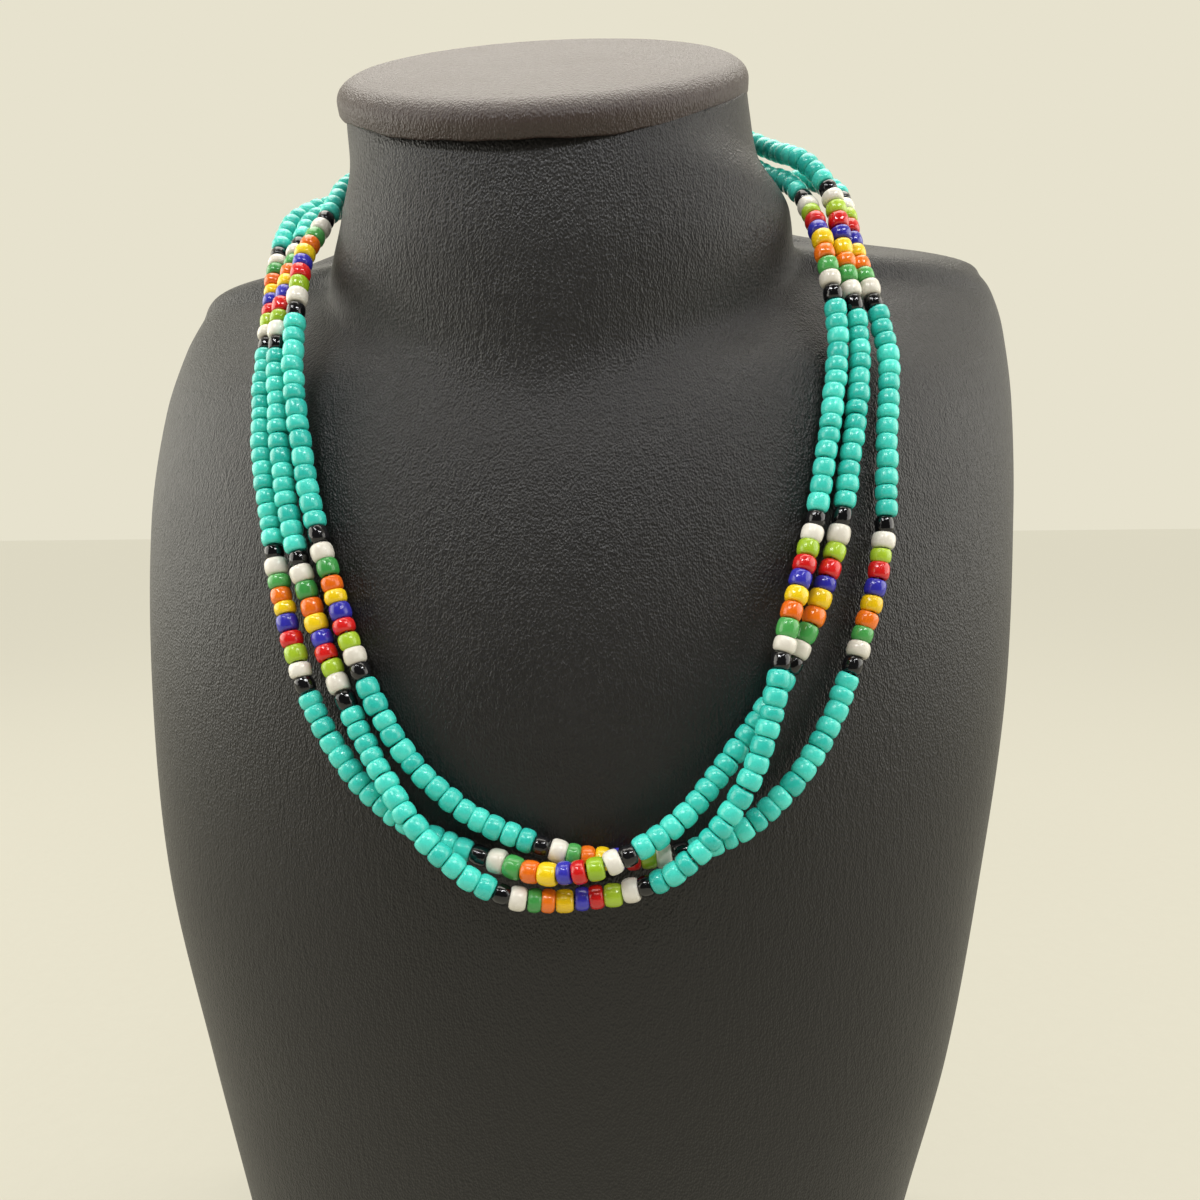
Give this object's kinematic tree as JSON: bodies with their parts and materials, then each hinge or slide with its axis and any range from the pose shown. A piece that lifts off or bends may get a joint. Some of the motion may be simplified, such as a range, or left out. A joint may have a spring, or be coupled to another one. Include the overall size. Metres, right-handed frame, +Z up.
{
  "type": "multi strand necklace on a neck bust",
  "caption": "Short necklace of three strands of seed beads in banded colours, held on a plain black neck bust with a slanted cap.",
  "frame": {"origin": "middle of the footprint of the whole, on the surface that the bust stands on", "axes": "+Z up, -Y the front of the bust, +X the bust's side that is on the right in a front view"},
  "size_m": [0.201, 0.0914, 0.2735],
  "materials": {
    "bust_leatherette": "grained, low sheen",
    "cap_leatherette": "grained, low sheen",
    "turquoise_bead": "opaque glass, glossy",
    "clasp_metal": "satin"
  },
  "bodies": {
    "root": {"neck_bust": "bust_leatherette", "neck_cap": "cap_leatherette", "strand_upper": "turquoise_bead", "strand_middle": "turquoise_bead", "strand_lower": "turquoise_bead", "clasp": "clasp_metal"}
  },
  "joints": []
}
